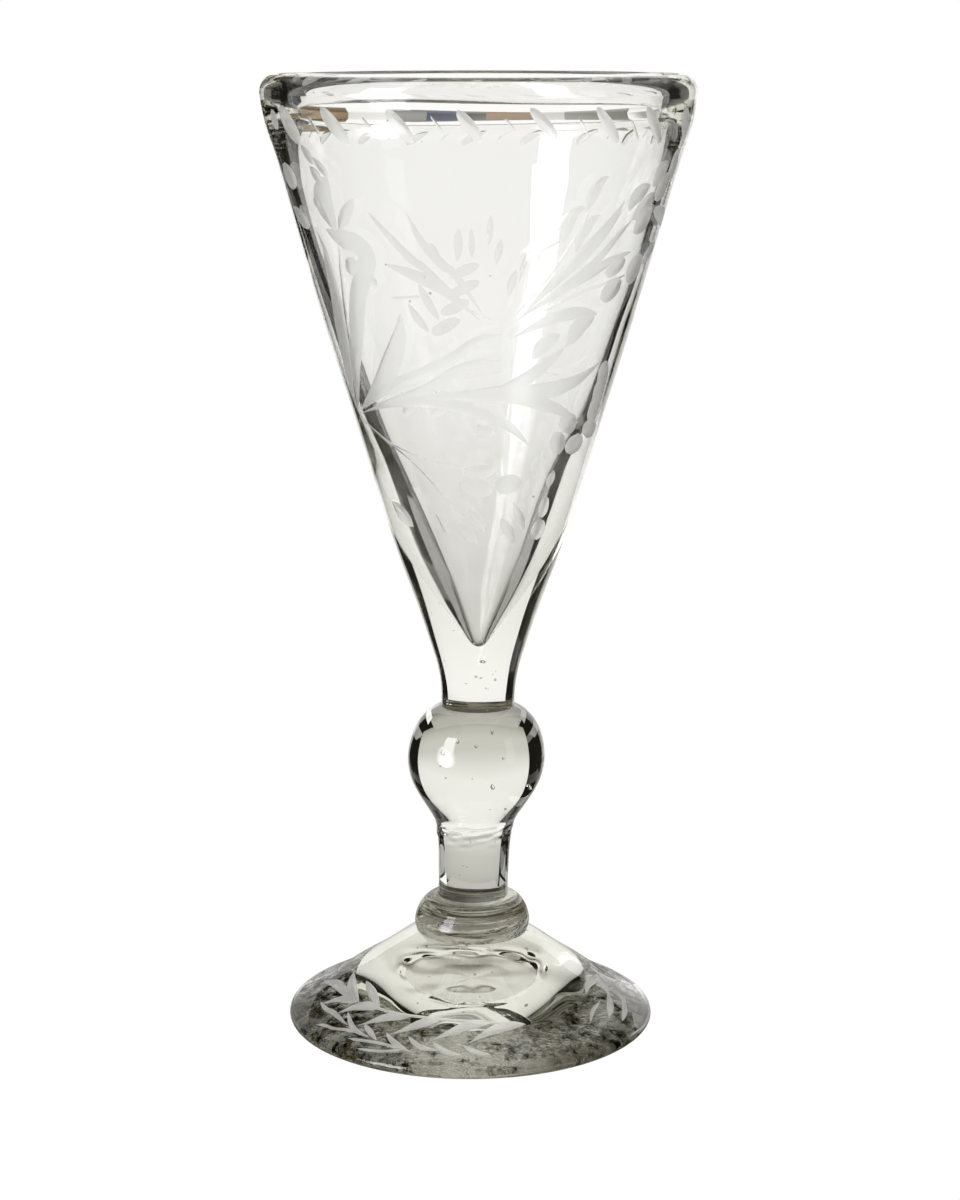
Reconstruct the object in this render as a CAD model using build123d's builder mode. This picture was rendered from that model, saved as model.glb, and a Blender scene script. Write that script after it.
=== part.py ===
from build123d import *
import math
import os

# Stemmed drinking glass, hand-blown in thick glass with a faint olive-grey
# tint: a conical bowl on a solid shank, a ball knop, a short stem, a button
# (merese) and a heavy conical foot.  Each gather of glass is one piece, and
# neighbouring pieces are fused face to face.
#
# Frame: millimetres, +Z up.  The origin is the centre of the resting ring
# under the foot, and +Z is the axis of the glass.

# ---------------------------------------------------------------- driving
total_height = 250.0

# levels of the fused joints, from the table up
z_foot_merese = 24.4
z_merese_stem = 34.1
z_stem_knop = 52.8
z_knop_bowl = 86.2

# radii at those joints
r_foot_merese = 14.9
r_merese_stem = 9.4
r_stem_knop = 10.1
r_knop_bowl = 9.65

# foot
foot_radius = 48.8          # widest circle of the foot
foot_edge_r = 1.45          # rounding of the foot's edge
foot_edge_slope = 58.5      # where the edge's rounding runs into the cone, degrees
rest_outer_r = foot_radius - foot_edge_r    # flat resting ring
rest_inner_r = 43.6
kick_height = 3.2           # rise of the hollow under the foot
pontil_r = 8.5              # ground pontil mark at the top of the hollow
pontil_depth = 0.7

# merese (button between stem and foot)
merese_radius = 15.35
merese_belly_z = 26.6

# stem and knop
stem_waist_r = 9.35
knop_radius = 18.1
knop_belly_z = 72.8

# bowl
rim_radius = 55.3           # widest circle, just under the lip
rim_belly_z = 245.3
lip_width = 7.0             # thickness of the rounded lip
lip_inner_r = rim_radius - lip_width
cavity_tip_z = 104.4        # bottom of the drink space
wall = 3.55                 # horizontal wall of the upper bowl, where it is thinnest

# ---------------------------------------------------------------- profiles
# each point is (radius, height)

bowl_outer = [
    (r_knop_bowl, z_knop_bowl),
    (9.75, 90.6),
    (10.75, 96.6),
    (12.65, 103.0),
    (15.85, 112.7),
    (20.45, 125.6),
    (26.45, 144.7),
    (32.25, 163.6),
    (37.85, 182.3),
    (43.15, 200.8),
    (48.45, 219.0),
    (51.95, 231.0),
    (54.45, 239.8),
    (rim_radius, rim_belly_z),
]

bowl_inner = [
    (lip_inner_r, 245.6),
    (48.32, 243.6),
    (48.65, 241.6),
    (49.0, 239.6),
    (48.85, 237.4),
    (48.2, 234.0),
    (46.85, 228.5),
    (45.6, 223.0),
    (44.6, 219.0),
    (42.25, 210.0),
    (43.15 - wall, 200.8),
    (37.1, 193.0),
    (35.0, 187.0),
    (29.9, 172.6),
    (25.3, 160.0),
    (21.8, 151.5),
    (17.35, 141.0),
    (12.8, 130.4),
    (10.55, 125.4),
    (7.2, 118.4),
    (4.6, 112.7),
    (2.1, 107.0),
]

knop_side = [
    (r_stem_knop, z_stem_knop),
    (10.9, 55.2),
    (12.95, 58.6),
    (15.1, 62.0),
    (16.9, 65.6),
    (knop_radius, knop_belly_z),
    (17.35, 77.2),
    (16.1, 80.6),
    (14.2, 83.2),
    (11.6, 85.3),
    (r_knop_bowl, z_knop_bowl),
]

stem_side = [
    (r_merese_stem, z_merese_stem),
    (9.25, 36.9),
    (stem_waist_r, 42.0),
    (9.6, 47.6),
    (r_stem_knop, z_stem_knop),
]

merese_side = [
    (r_foot_merese, z_foot_merese),
    (merese_radius, merese_belly_z),
    (14.85, 29.2),
    (13.5, 31.8),
    (11.6, 33.4),
    (r_merese_stem, z_merese_stem),
]

foot_top = [
    (
        rest_outer_r + foot_edge_r * math.cos(math.radians(foot_edge_slope)),
        foot_edge_r + foot_edge_r * math.sin(math.radians(foot_edge_slope)),
    ),
    (43.3, 5.3),
    (38.4, 8.05),
    (34.2, 11.1),
    (29.7, 14.15),
    (25.15, 17.2),
    (21.1, 20.2),
    (17.5, 22.75),
    (r_foot_merese, z_foot_merese),
]

foot_kick = [
    (pontil_r, kick_height),
    (13.0, 3.05),
    (17.5, 2.92),
    (22.0, 2.75),
    (26.5, 2.47),
    (31.0, 2.0),
    (35.0, 1.43),
    (39.4, 0.72),
    (rest_inner_r, 0),
]

# ---------------------------------------------------------------- foot
with BuildPart() as foot:
    with BuildSketch(Plane.XZ) as foot_section:
        with BuildLine() as foot_outline:
            Line((0, kick_height + pontil_depth), (0, z_foot_merese))
            Line((0, z_foot_merese), (r_foot_merese, z_foot_merese))
            Spline(*reversed(foot_top))
            # rounded edge of the foot
            ThreePointArc(
                foot_top[0],
                (foot_radius, foot_edge_r),
                (rest_outer_r, 0.0),
            )
            Line((rest_outer_r, 0.0), (rest_inner_r, 0.0))
            Spline(*reversed(foot_kick), tangents=((-1, 0.17), (-1, 0.035)))
            # ground pontil mark, a shallow dish
            Spline(
                (pontil_r, kick_height),
                (pontil_r * 0.7, kick_height + pontil_depth * 0.55),
                (0, kick_height + pontil_depth),
                tangents=((-1, 0.16), (-1, 0)),
            )
        make_face()
    revolve(axis=Axis.Z)
foot.part.label = "foot"

# ---------------------------------------------------------------- merese
with BuildPart() as merese:
    with BuildSketch(Plane.XZ) as merese_section:
        with BuildLine() as merese_outline:
            Line((0, z_foot_merese), (r_foot_merese, z_foot_merese))
            Spline(*merese_side)
            Line((r_merese_stem, z_merese_stem), (0, z_merese_stem))
            Line((0, z_merese_stem), (0, z_foot_merese))
        make_face()
    revolve(axis=Axis.Z)
merese.part.label = "merese"

# ---------------------------------------------------------------- stem
with BuildPart() as stem:
    with BuildSketch(Plane.XZ) as stem_section:
        with BuildLine() as stem_outline:
            Line((0, z_merese_stem), (r_merese_stem, z_merese_stem))
            Spline(*stem_side)
            Line((r_stem_knop, z_stem_knop), (0, z_stem_knop))
            Line((0, z_stem_knop), (0, z_merese_stem))
        make_face()
    revolve(axis=Axis.Z)
stem.part.label = "stem"

# ---------------------------------------------------------------- knop
with BuildPart() as knop:
    with BuildSketch(Plane.XZ) as knop_section:
        with BuildLine() as knop_outline:
            Line((0, z_stem_knop), (r_stem_knop, z_stem_knop))
            Spline(*knop_side)
            Line((r_knop_bowl, z_knop_bowl), (0, z_knop_bowl))
            Line((0, z_knop_bowl), (0, z_stem_knop))
        make_face()
    revolve(axis=Axis.Z)
knop.part.label = "knop"

# ---------------------------------------------------------------- bowl
lip_mid_r = rim_radius - lip_width / 2
with BuildPart() as bowl:
    with BuildSketch(Plane.XZ) as bowl_section:
        with BuildLine() as bowl_outline:
            Line((0, z_knop_bowl), (r_knop_bowl, z_knop_bowl))
            Spline(*bowl_outer)
            # rounded, fire-polished lip
            Spline(
                (rim_radius, rim_belly_z),
                (54.55, 248.3),
                (lip_mid_r + 0.4, total_height),
                (49.25, 248.5),
                (lip_inner_r, 245.6),
                tangents=((0, 1), (0, -1)),
            )
            Spline(*bowl_inner)
            # small rounded tip of the drink space
            Spline(
                bowl_inner[-1],
                (1.0, 104.95),
                (0, cavity_tip_z),
                tangents=((-0.43, -1), (-1, 0)),
            )
            Line((0, cavity_tip_z), (0, z_knop_bowl))
        make_face()
    revolve(axis=Axis.Z)
bowl.part.label = "bowl"

# ---------------------------------------------------------------- output
os.makedirs("parts", exist_ok=True)
pieces = [foot, merese, stem, knop, bowl]
for piece in pieces:
    export_step(piece.part, "parts/" + piece.part.label + ".step")

glass_volume = sum(piece.part.volume for piece in pieces)
print("glass volume cm3", round(glass_volume / 1000, 1))
for piece in pieces:
    box = piece.part.bounding_box()
    print(
        piece.part.label,
        "solids", len(piece.part.solids()),
        "z", round(box.min.Z, 3), round(box.max.Z, 3),
        "r", round(box.max.X, 3),
    )

# drink space up to the brim, from the inner profile
inner = sorted([(z, r) for r, z in bowl_inner] + [(cavity_tip_z, 0.0), (248.5, 49.2)])
brim = 0.0
for (z0, r0), (z1, r1) in zip(inner, inner[1:]):
    brim += math.pi * (z1 - z0) * (r0 * r0 + r0 * r1 + r1 * r1) / 3
print("drink space ml", round(brim / 1000, 1))
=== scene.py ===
import math

import bpy
import numpy as np
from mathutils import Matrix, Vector
from mathutils.geometry import delaunay_2d_cdt


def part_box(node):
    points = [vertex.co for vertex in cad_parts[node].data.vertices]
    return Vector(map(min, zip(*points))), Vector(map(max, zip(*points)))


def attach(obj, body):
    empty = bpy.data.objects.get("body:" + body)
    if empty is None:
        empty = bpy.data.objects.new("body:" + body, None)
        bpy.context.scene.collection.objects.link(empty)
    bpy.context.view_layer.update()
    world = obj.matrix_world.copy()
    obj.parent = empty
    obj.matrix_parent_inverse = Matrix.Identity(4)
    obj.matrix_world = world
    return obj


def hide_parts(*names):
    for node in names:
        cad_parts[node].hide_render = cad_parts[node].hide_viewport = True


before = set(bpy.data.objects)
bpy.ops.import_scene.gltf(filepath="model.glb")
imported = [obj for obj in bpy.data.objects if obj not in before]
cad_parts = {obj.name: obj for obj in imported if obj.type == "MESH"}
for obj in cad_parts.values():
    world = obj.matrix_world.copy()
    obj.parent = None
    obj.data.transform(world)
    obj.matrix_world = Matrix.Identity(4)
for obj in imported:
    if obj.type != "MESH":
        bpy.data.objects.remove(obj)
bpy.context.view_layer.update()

MM = 0.001

# ------------------------------------------------------------------ levels
# joint levels, from the CAD nodes (mm)
Z_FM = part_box("foot")[1].z / MM
Z_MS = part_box("merese")[1].z / MM
Z_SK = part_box("stem")[1].z / MM
Z_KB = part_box("knop")[1].z / MM
Z_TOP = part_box("bowl")[1].z / MM


# ------------------------------------------------------------------ curves
def cubic(points, start=None, end=None):
    """A cubic spline through points, chord-length parameter, with optional end tangents. Returns f(t) for t in 0..1 as (n, 2)."""
    p = np.array(points, float)
    h = np.linalg.norm(np.diff(p, axis=0), axis=1)
    t = np.concatenate([[0], np.cumsum(h)])
    n = len(p)
    a = np.zeros((n, n))
    b = np.zeros((n, 2))
    for i in range(1, n - 1):
        a[i, i - 1] = h[i - 1]
        a[i, i] = 2 * (h[i - 1] + h[i])
        a[i, i + 1] = h[i]
        b[i] = 6 * ((p[i + 1] - p[i]) / h[i] - (p[i] - p[i - 1]) / h[i - 1])
    if start is None:
        a[0, 0] = 1
    else:
        d = np.array(start, float)
        d = d / np.linalg.norm(d)
        a[0, 0], a[0, 1] = 2 * h[0], h[0]
        b[0] = 6 * ((p[1] - p[0]) / h[0] - d)
    if end is None:
        a[-1, -1] = 1
    else:
        d = np.array(end, float)
        d = d / np.linalg.norm(d)
        a[-1, -1], a[-1, -2] = 2 * h[-1], h[-1]
        b[-1] = 6 * (d - (p[-1] - p[-2]) / h[-1])
    m = np.linalg.solve(a, b)

    def f(u):
        u = np.clip(np.asarray(u, float), 0, 1) * t[-1]
        k = np.clip(np.searchsorted(t, u, side="right") - 1, 0, n - 2)
        hk = h[k][:, None]
        x0 = (t[k + 1] - u)[:, None]
        x1 = (u - t[k])[:, None]
        return (
            m[k] * x0**3 / (6 * hk)
            + m[k + 1] * x1**3 / (6 * hk)
            + (p[k] / hk - m[k] * hk / 6) * x0
            + (p[k + 1] / hk - m[k + 1] * hk / 6) * x1
        )

    return f


class Profile:
    """A meridian (r, z) in mm, by arc length s, with the conformal height w = integral of ds / r."""

    def __init__(self, parts):
        pts = [np.zeros((0, 2))]
        for f, n in parts:
            q = f(np.linspace(0, 1, n))
            if len(pts) > 1:
                q = q[1:]
            pts.append(q)
        self.p = np.concatenate(pts)
        d = np.linalg.norm(np.diff(self.p, axis=0), axis=1)
        self.s = np.concatenate([[0], np.cumsum(d)])
        rm = np.maximum((self.p[1:, 0] + self.p[:-1, 0]) / 2, 1e-3)
        self.w = np.concatenate([[0], np.cumsum(d / rm)])

    def rz_w(self, w):
        return np.interp(w, self.w, self.p[:, 0]), np.interp(w, self.w, self.p[:, 1])

    def rz_s(self, s):
        return np.interp(s, self.s, self.p[:, 0]), np.interp(s, self.s, self.p[:, 1])


# ------------------------------------------------------------------ profiles
R_KB, R_SK, R_MS, R_FM = 9.65, 10.1, 9.4, 14.9

bowl_outer = cubic(
    [
        (R_KB, Z_KB), (9.75, 90.6), (10.75, 96.6), (12.65, 103.0), (15.85, 112.7),
        (20.45, 125.6), (26.45, 144.7), (32.25, 163.6), (37.85, 182.3), (43.15, 200.8),
        (48.45, 219.0), (51.95, 231.0), (54.45, 239.8), (55.3, 245.3),
    ]
)
bowl_lip = cubic(
    [(55.3, 245.3), (54.55, 248.3), (52.2, 250.0), (49.25, 248.5), (48.3, 245.6)],
    (0, 1), (0, -1),
)
bowl_inner = cubic(
    [
        (48.3, 245.6), (48.32, 243.6), (48.65, 241.6), (49.0, 239.6), (48.85, 237.4), (48.2, 234.0),
        (46.85, 228.5), (45.6, 223.0), (44.6, 219.0),
        (42.25, 210.0), (39.6, 200.8), (37.1, 193.0), (35.0, 187.0), (29.9, 172.6), (25.3, 160.0),
        (21.8, 151.5), (17.35, 141.0), (12.8, 130.4), (10.55, 125.4), (7.2, 118.4), (4.6, 112.7),
        (2.1, 107.0),
    ],
    (0, -1), (-0.43, -1),
)
bowl_tip = cubic([(2.1, 107.0), (1.0, 104.95), (0.02, 104.4)], (-0.43, -1), (-1, 0))
knop_side = cubic(
    [
        (R_SK, Z_SK), (10.9, 55.2), (12.95, 58.6), (15.1, 62.0), (16.9, 65.6),
        (18.1, 72.8), (17.35, 77.2), (16.1, 80.6), (14.2, 83.2), (11.6, 85.3),
        (R_KB, Z_KB),
    ]
)
stem_side = cubic([(R_MS, Z_MS), (9.25, 36.9), (9.35, 42.0), (9.6, 47.6), (R_SK, Z_SK)])
merese_side = cubic(
    [(R_FM, Z_FM), (15.35, 26.6), (14.85, 29.2), (13.5, 31.8), (11.6, 33.4), (R_MS, Z_MS)]
)
EDGE_R, EDGE_A = 1.45, math.radians(58.5)
REST_R = 48.8 - EDGE_R
foot_top = cubic(
    [
        (REST_R + EDGE_R * math.cos(EDGE_A), EDGE_R + EDGE_R * math.sin(EDGE_A)),
        (43.3, 5.3), (38.4, 8.05), (34.2, 11.1), (29.7, 14.15), (25.15, 17.2),
        (21.1, 20.2), (17.5, 22.75), (R_FM, Z_FM),
    ]
)
foot_kick = cubic(
    [(43.6, 0.0), (39.4, 0.72), (35.0, 1.43), (31.0, 2.0), (26.5, 2.47), (22.0, 2.75), (17.5, 2.92), (13.0, 3.05), (8.5, 3.2)],
    (-1, 0.17), (-1, 0.035),
)
foot_pontil = cubic([(8.5, 3.2), (5.95, 3.585), (0.02, 3.9)], (-1, 0.16), (-1, 0))


def foot_edge(u):
    a = EDGE_A + (-math.pi / 2 - EDGE_A) * np.asarray(u, float)
    return np.stack([REST_R + EDGE_R * np.cos(a), EDGE_R + EDGE_R * np.sin(a)], 1)


def straight(a, b):
    a, b = np.array(a, float), np.array(b, float)
    return lambda u: a + (b - a) * np.asarray(u, float)[:, None]


# ------------------------------------------------------------------ hand-made form
LEAN_Z = [0, 24.4, 34, 44, 60, 73, 86, 95, 260]
LEAN_X = [-1.15, -0.75, -0.42, -0.2, 0.2, 0.5, 0.9, 1.12, 1.12]
_lz = np.linspace(0, 260, 521)
_lx = np.convolve(
    np.pad(np.interp(_lz, LEAN_Z, LEAN_X), 12, mode="edge"), np.ones(25) / 25, "valid"
)


def lean(z):
    return np.interp(z, _lz, _lx)


def waves(theta, z, seed, count, per_turn, pitch):
    """Smooth unevenness of hand-blown glass, about -1 to 1, periodic in theta. pitch is the shortest wave along z, in mm."""
    rng = np.random.default_rng(seed)
    out = np.zeros(np.broadcast(theta, z).shape)
    for _ in range(count):
        k = rng.integers(0, per_turn + 1)
        m = rng.uniform(-1, 1) * 2 * math.pi / pitch
        out = out + np.sin(k * theta + m * z + rng.uniform(0, 2 * math.pi))
    return out / math.sqrt(count)


def place(r, theta, z, roll=0.0):
    """Ideal (r, theta, z) in mm to the frame in metres. theta 0 faces -Y, 90 degrees is +X."""
    x = r * np.sin(theta)
    y = -r * np.cos(theta)
    if roll:
        z = z - roll * x * np.clip(z / 3.0, 0, 1)
    return np.stack([x + lean(z), y, z], -1) * MM


# ------------------------------------------------------------------ materials
def glass_material(name, absorb, density, seed, worn=False, dark_streak_heights=None):
    """Old hand-made glass: clear, faintly wavy skin, matt wheel cuts, and on the foot a worn and grimy resting ring,
    its grime laid on thicker at the left and right sides as painted shade.
    """
    mat = bpy.data.materials.new(name)
    mat.use_nodes = True
    nt = mat.node_tree
    nt.nodes.clear()

    def node(kind, **inputs):
        n = nt.nodes.new(kind)
        for k, v in inputs.items():
            n.inputs[k.replace("_", " ")].default_value = v
        return n

    def math_node(op, a, b, clamp=False):
        n = nt.nodes.new("ShaderNodeMath")
        n.operation = op
        n.use_clamp = clamp
        for i, x in enumerate((a, b)):
            if isinstance(x, (int, float)):
                n.inputs[i].default_value = x
            else:
                nt.links.new(x, n.inputs[i])
        return n.outputs[0]

    def attribute(key):
        n = nt.nodes.new("ShaderNodeAttribute")
        n.attribute_name = key
        return n.outputs["Fac"]

    out = nt.nodes.new("ShaderNodeOutputMaterial")
    bsdf = node("ShaderNodeBsdfPrincipled", Base_Color=(1, 1, 1, 1), Transmission_Weight=1.0, IOR=1.5)
    vol = node("ShaderNodeVolumeAbsorption", Color=(*absorb, 1), Density=density)
    nt.links.new(vol.outputs[0], out.inputs["Volume"])
    # joint faces, where two gathers are fused, let light straight through
    nt.links.new(math_node("SUBTRACT", 1.0, attribute("fused")), bsdf.inputs["Alpha"])

    tc = nt.nodes.new("ShaderNodeTexCoord")
    where = nt.nodes.new("ShaderNodeMapping")
    where.inputs["Location"].default_value = (seed * 0.37, seed * 0.11, seed * 0.23)
    nt.links.new(tc.outputs["Object"], where.inputs["Vector"])

    def noise(scale, detail=2.0, rough=0.5):
        n = node("ShaderNodeTexNoise", Scale=scale, Detail=detail, Roughness=rough)
        nt.links.new(where.outputs[0], n.inputs["Vector"])
        return n.outputs["Fac"]

    # roughness: a wiped, lightly rubbed skin; matt where the wheel cut
    rub = math_node("MULTIPLY", math_node("SUBTRACT", noise(95.0, 3.0), 0.58, True), 0.03)
    grain = noise(1500.0, 2.0)
    matt = math_node("ADD", 0.24, math_node("MULTIPLY", noise(260.0, 3.0), 0.16))
    cut = attribute("cut")
    rough = math_node("ADD", rub, math_node("MULTIPLY", cut, matt))
    # fine wheel grain in the cuts
    bump = node("ShaderNodeBump", Strength=0.35, Distance=0.00006)
    nt.links.new(math_node("MULTIPLY", cut, grain), bump.inputs["Height"])
    nt.links.new(bump.outputs[0], bsdf.inputs["Normal"])
    # the ground surface of a cut also scatters some light as white frost
    soft = node("ShaderNodeBsdfTranslucent", Color=(0.97, 0.97, 0.95, 1))
    chalk = node("ShaderNodeBsdfDiffuse", Color=(0.93, 0.93, 0.91, 1), Roughness=0.5)
    frost = nt.nodes.new("ShaderNodeMixShader")
    frost.inputs[0].default_value = 0.4
    nt.links.new(soft.outputs[0], frost.inputs[1])
    nt.links.new(chalk.outputs[0], frost.inputs[2])
    glass_and_frost = nt.nodes.new("ShaderNodeMixShader")
    nt.links.new(math_node("MULTIPLY", cut, math_node("ADD", 0.36, math_node("MULTIPLY", noise(180.0, 3.0), 0.26))), glass_and_frost.inputs[0])
    nt.links.new(bsdf.outputs[0], glass_and_frost.inputs[1])
    nt.links.new(frost.outputs[0], glass_and_frost.inputs[2])
    if not worn:
        nt.links.new(rough, bsdf.inputs["Roughness"])
        # a thin dry bloom low down inside the bowl
        place_xyz = nt.nodes.new("ShaderNodeSeparateXYZ")
        nt.links.new(tc.outputs["Object"], place_xyz.inputs[0])
        low = nt.nodes.new("ShaderNodeMapRange")
        low.inputs["From Min"].default_value, low.inputs["From Max"].default_value = 0.185, 0.105
        nt.links.new(place_xyz.outputs["Z"], low.inputs["Value"])
        bloom = node("ShaderNodeBsdfDiffuse", Color=(0.62, 0.61, 0.57, 1), Roughness=0.6)
        dry = nt.nodes.new("ShaderNodeMixShader")
        amount = math_node("MULTIPLY", low.outputs[0], math_node("ADD", 0.10, math_node("MULTIPLY", noise(120.0, 4.0, 0.6), 0.20)))
        nt.links.new(math_node("MULTIPLY", attribute("inner"), amount), dry.inputs[0])
        nt.links.new(glass_and_frost.outputs[0], dry.inputs[1])
        nt.links.new(bloom.outputs[0], dry.inputs[2])
        if dark_streak_heights is None:
            nt.links.new(dry.outputs[0], out.inputs["Surface"])
            return mat
        # dark brown streaks along the rings the tool left, on the upper part of the merese only
        drawn = nt.nodes.new("ShaderNodeMapping")
        drawn.inputs["Scale"].default_value = (26.0, 26.0, 640.0)
        nt.links.new(tc.outputs["Object"], drawn.inputs["Vector"])
        lines = node("ShaderNodeTexNoise", Scale=1.0, Detail=3.0, Roughness=0.6)
        nt.links.new(drawn.outputs[0], lines.inputs["Vector"])
        above = nt.nodes.new("ShaderNodeMapRange")
        above.inputs["From Min"].default_value, above.inputs["From Max"].default_value = dark_streak_heights
        nt.links.new(place_xyz.outputs["Z"], above.inputs["Value"])
        mark = math_node("MULTIPLY", math_node("SUBTRACT", lines.outputs["Fac"], 0.47), 9.0, True)
        brown_streak = node("ShaderNodeBsdfDiffuse", Color=(0.055, 0.045, 0.026, 1), Roughness=0.8)
        streaked_mix = nt.nodes.new("ShaderNodeMixShader")
        nt.links.new(math_node("MULTIPLY", math_node("MULTIPLY", mark, above.outputs[0]), 0.62), streaked_mix.inputs[0])
        nt.links.new(dry.outputs[0], streaked_mix.inputs[1])
        nt.links.new(brown_streak.outputs[0], streaked_mix.inputs[2])
        nt.links.new(streaked_mix.outputs[0], out.inputs["Surface"])
        return mat
    w = attribute("worn")
    scuff = math_node("MULTIPLY", w, math_node("MULTIPLY", noise(700.0, 4.0, 0.7), 0.07))
    nt.links.new(math_node("ADD", rough, scuff), bsdf.inputs["Roughness"])
    fine = noise(260.0, 7.0, 0.78)
    broad = noise(62.0, 3.0, 0.6)
    pits = node("ShaderNodeBump", Strength=0.8, Distance=0.0005)
    nt.links.new(math_node("MULTIPLY", w, noise(520.0, 5.0, 0.65)), pits.inputs["Height"])
    nt.links.new(bump.outputs[0], pits.inputs["Normal"])
    nt.links.new(pits.outputs[0], bsdf.inputs["Normal"])
    place_xyz = nt.nodes.new("ShaderNodeSeparateXYZ")
    nt.links.new(tc.outputs["Object"], place_xyz.inputs[0])
    # painted shade: the grime on the resting ring is laid on thicker towards its left and right sides (by distance in
    # x), darkening those sides; the mottled brown itself is dirt
    far = nt.nodes.new("ShaderNodeMapRange")
    far.inputs["From Min"].default_value, far.inputs["From Max"].default_value = 0.008, 0.034
    far.inputs["To Min"].default_value, far.inputs["To Max"].default_value = 0.14, 0.54
    nt.links.new(math_node("ABSOLUTE", place_xyz.outputs["X"], 0.0), far.inputs["Value"])
    side = far.outputs[0]
    grime_and_shade_mask = math_node("ADD", math_node("MULTIPLY", math_node("SUBTRACT", fine, 0.5), 7.0), math_node("ADD", side, math_node("MULTIPLY", math_node("SUBTRACT", broad, 0.5), 2.2)), True)
    ramp = nt.nodes.new("ShaderNodeValToRGB")
    els = ramp.color_ramp.elements
    els[0].position, els[0].color = 0.52, (0.012, 0.009, 0.003, 1)
    els[1].position, els[1].color = 0.66, (0.34, 0.262, 0.125, 1)
    nt.links.new(noise(300.0, 6.0, 0.78), ramp.inputs[0])
    grime_and_shade = node("ShaderNodeBsdfDiffuse", Roughness=0.9)
    nt.links.new(ramp.outputs[0], grime_and_shade.inputs["Color"])
    mix = nt.nodes.new("ShaderNodeMixShader")
    nt.links.new(math_node("MULTIPLY", w, grime_and_shade_mask), mix.inputs[0])
    nt.links.new(glass_and_frost.outputs[0], mix.inputs[1])
    nt.links.new(grime_and_shade.outputs[0], mix.inputs[2])
    nt.links.new(mix.outputs[0], out.inputs["Surface"])
    return mat


# ------------------------------------------------------------------ cut decoration
# Wheel-cut strokes on the outside of the glass. Each is (kind, half width to the left, half width to the right, [(angle in degrees,
# height in mm), ...]), in mm, walking along the points; angle 0 faces -Y and 90 faces +X.
CUT_RIM = [
    ("oval", 2.88, 2.88, [(-61.7, 242.77), (-54.43, 233.85)]),
    ("oval", 1.96, 1.96, [(-43.33, 242.94), (-35.47, 234.38)]),
    ("oval", 1.69, 1.69, [(-23.21, 242.79), (-16.79, 234.95)]),
    ("oval", 1.54, 1.54, [(-5.21, 242.68), (0.89, 235.04)]),
    ("oval", 1.39, 1.39, [(12.62, 243.11), (20.16, 236.08)]),
    ("oval", 1.44, 1.44, [(30.47, 243.16), (38.78, 234.54)]),
    ("oval", 1.67, 1.67, [(47.11, 242.86), (56.35, 234.03)]),
    ("oval", 2.4, 2.4, [(-68.21, 241.88), (-66.22, 236.85)]),
    ("oval", 2.7, 2.7, [(66.39, 242.17), (75.42, 234.33)]),
    ("line", 0.5, 0.5, [(-48.75, 240.94), (-44.79, 236.05)]),
    ("line", 0.32, 0.32, [(-11.91, 241.5), (-8.85, 237.35)]),
    ("line", 0.3, 0.3, [(6.25, 241.07), (9.64, 237.11)]),
    ("line", 0.32, 0.32, [(25.59, 240.9), (28.79, 236.64)]),
    ("line", 0.42, 0.42, [(41.75, 240.15), (46.04, 234.82)]),
    ("line", 0.37, 0.37, [(-30.14, 240.83), (-27.27, 236.91)]),
]
CUT_SPRIG = [
    ("leaf", 1.52, 1.52, [(-54.94, 233.84), (-50.87, 228.91)]),
    ("leaf", 1.22, 1.22, [(-50.83, 230.84), (-45.62, 225.96)]),
    ("leaf", 1.66, 1.66, [(-53.44, 228.57), (-49.33, 224.37)]),
    ("leaf", 1.23, 6.16, [(-46.27, 226.42), (-48.31, 220.52), (-47.9, 213.21)]),
    ("leaf", 1.84, 1.84, [(-54.05, 222.72), (-49.76, 213.37)]),
    ("leaf", 1.77, 1.77, [(-37.92, 221.15), (-46.95, 213.25)]),
    ("oval", 1.26, 1.26, [(-55.59, 220.95), (-54.37, 218.31)]),
    ("oval", 4.93, 4.93, [(-69.6, 228.91), (-69.8, 222.01)]),
    ("oval", 5.43, 5.43, [(-68.92, 217.6), (-70.69, 212.77)]),
    ("hook", 2.75, 2.75, [(-53.47, 213.19), (-47.8, 211.37), (-40.03, 209.87), (-37.26, 207.28), (-38.85, 203.76), (-42.51, 199.87), (-45.63, 195.97), (-48.43, 190.79), (-51.69, 185.53), (-57.14, 178.8), (-62.31, 171.48), (-68.61, 165.81)]),
    ("line", 0.73, 0.73, [(-48.58, 209.73), (-50.37, 203.7), (-52.68, 196.08), (-56.02, 186.02), (-60.59, 176.76), (-68.44, 166.35)]),
    ("leaf", 1.6, 4.28, [(-59.37, 212.4), (-56.63, 208.09), (-56.69, 203.35), (-56.45, 196.1), (-58.44, 187.64), (-62.57, 178.42), (-69.86, 166.76)]),
    ("oval", 2.65, 2.65, [(-47.01, 205.86), (-42.58, 203.1)]),
    ("oval", 1.62, 1.62, [(-38.78, 201.54), (-35.13, 199.96)]),
]
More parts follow.
